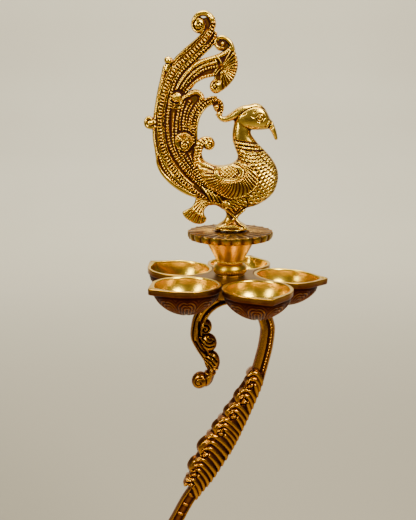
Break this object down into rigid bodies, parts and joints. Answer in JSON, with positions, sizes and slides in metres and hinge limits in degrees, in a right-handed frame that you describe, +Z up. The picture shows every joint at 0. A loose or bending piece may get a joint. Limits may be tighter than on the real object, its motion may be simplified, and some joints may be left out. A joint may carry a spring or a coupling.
{
  "type": "standing oil lamp",
  "caption": "Standing brass oil lamp: pointed oil cups around a hub on an S-curved, leafed stem with a domed foot, under a peacock finial.",
  "frame": {"origin": "centre of the foot's flat ring, on the surface that the lamp stands on", "axes": "+Z up along the stud axis through foot and tray; +X the way the peacock looks; the crook stem lies in the XZ plane"},
  "size_m": [0.144, 0.144, 0.4811],
  "materials": {
    "cast_brass": "cast relief, polished on the high spots, dark brown in the recesses",
    "gold_brass": "polished yellow gold, brown in the engraved lines",
    "cup_brass": "bright turned inside, red-brown patina on the relief outside",
    "hub_brass": "matte, grey-brown, filed",
    "fastener_brass": "plain machined"
  },
  "bodies": {
    "stand": {"base_dome": "cast_brass", "base_washer": "fastener_brass", "base_nut": "fastener_brass", "stem_stud": "fastener_brass", "stem_collar": "gold_brass", "stem_crook": "cast_brass", "tray_stud": "fastener_brass", "tray_seat_washer": "fastener_brass"},
    "tray": {"tray_hub": "hub_brass", "diya_cup_1": "cup_brass", "diya_cup_2": "cup_brass", "diya_cup_3": "cup_brass", "diya_cup_4": "cup_brass", "diya_cup_5": "cup_brass"},
    "finial_ring": {"finial_washer": "fastener_brass"},
    "finial": {"pedestal": "gold_brass", "peacock_nut": "fastener_brass", "lotus_disc": "gold_brass", "peacock_stud": "fastener_brass", "peacock": "gold_brass"}
  },
  "joints": [
    {"name": "tray_swivel", "type": "hinge", "parent": "stand", "child": "tray", "pos_m": [0, 0, 0.33], "axis": [0, 0, 1], "continuous": true},
    {"name": "finial_lift", "type": "slide", "parent": "stand", "child": "finial_ring", "axis": [0, 0, 1], "range_m": [0, 0.008]},
    {"name": "finial_turn", "type": "hinge", "parent": "finial_ring", "child": "finial", "pos_m": [0, 0, 0.33], "axis": [0, 0, 1], "range_deg": [0, 2300]}
  ],
  "couplings": [
    {"joint": "finial_lift", "follows": "finial_turn", "m_per_rad": 0.00019894}
  ]
}
